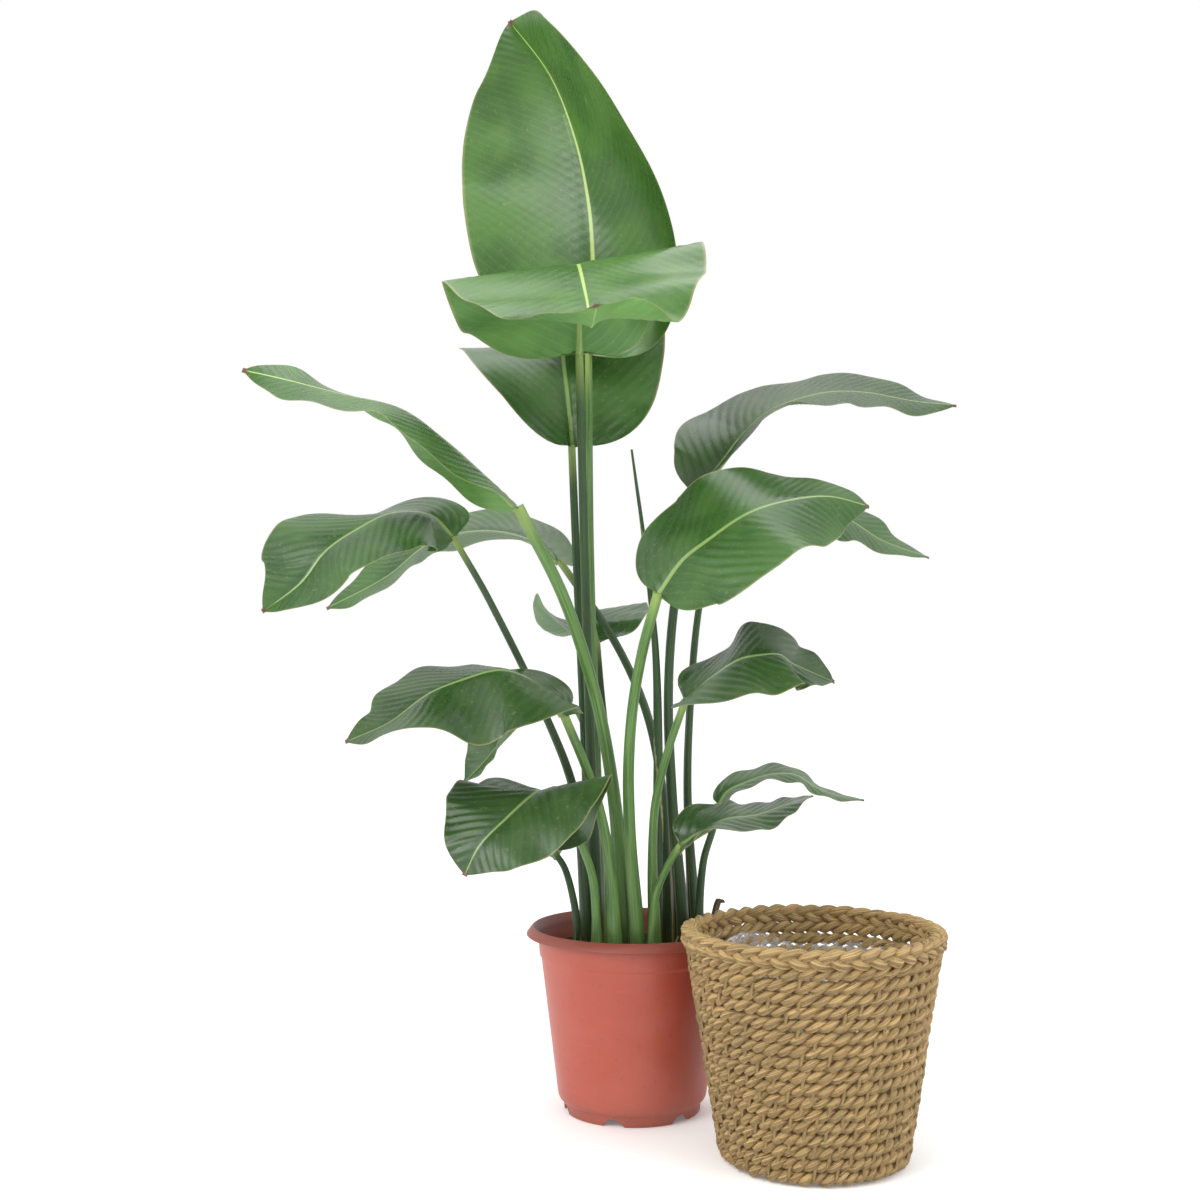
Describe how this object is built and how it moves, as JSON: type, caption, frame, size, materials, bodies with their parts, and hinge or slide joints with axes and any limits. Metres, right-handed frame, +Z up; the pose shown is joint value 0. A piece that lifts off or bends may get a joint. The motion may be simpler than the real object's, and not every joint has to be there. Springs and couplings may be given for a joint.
{
  "type": "potted bird of paradise plant with a woven basket",
  "caption": "Young broad-leaved bird of paradise in a round plastic nursery pot, with an open round woven basket standing against the pot's side.",
  "frame": {"origin": "on the floor, under the middle of the whole object's box", "axes": "+Z up; the plant's front, where the basket stands, faces -Y; +X to the right seen from the front"},
  "size_m": [0.8008, 0.6008, 1.2718],
  "materials": {
    "terracotta_plastic": "satin moulded plastic",
    "dark_soil": "moist crumbs",
    "seagrass": "twisted dry grass rope",
    "clear_film": "crinkled clear film",
    "leaf_green": "waxy satin",
    "stalk_green": "satin",
    "dry_leaf": "matte"
  },
  "bodies": {
    "root": {"nursery_pot": "terracotta_plastic", "potting_soil": "dark_soil", "basket": "seagrass", "basket_liner": "clear_film", "leaf_01": "leaf_green", "leaf_02": "leaf_green", "leaf_03": "leaf_green", "leaf_04": "leaf_green", "leaf_05": "leaf_green", "leaf_06": "leaf_green", "leaf_07": "leaf_green", "leaf_08": "leaf_green", "leaf_09": "leaf_green", "leaf_10": "leaf_green", "leaf_11": "leaf_green", "leaf_12": "leaf_green", "leaf_13": "leaf_green", "leaf_14": "leaf_green", "leaf_15": "leaf_green", "leaf_16": "leaf_green", "leaf_17": "leaf_green", "stalk_01": "stalk_green", "stalk_02": "stalk_green", "stalk_03": "stalk_green", "stalk_04": "stalk_green", "stalk_05": "stalk_green", "stalk_06": "stalk_green", "stalk_07": "stalk_green", "stalk_08": "stalk_green", "stalk_09": "stalk_green", "stalk_10": "stalk_green", "stalk_11": "stalk_green", "stalk_12": "stalk_green", "stalk_13": "stalk_green", "stalk_14": "stalk_green", "stalk_15": "stalk_green", "stalk_16": "stalk_green", "stalk_17": "stalk_green", "spear_leaf": "leaf_green", "dry_sheath": "dry_leaf", "dry_strand": "dry_leaf"}
  },
  "joints": []
}
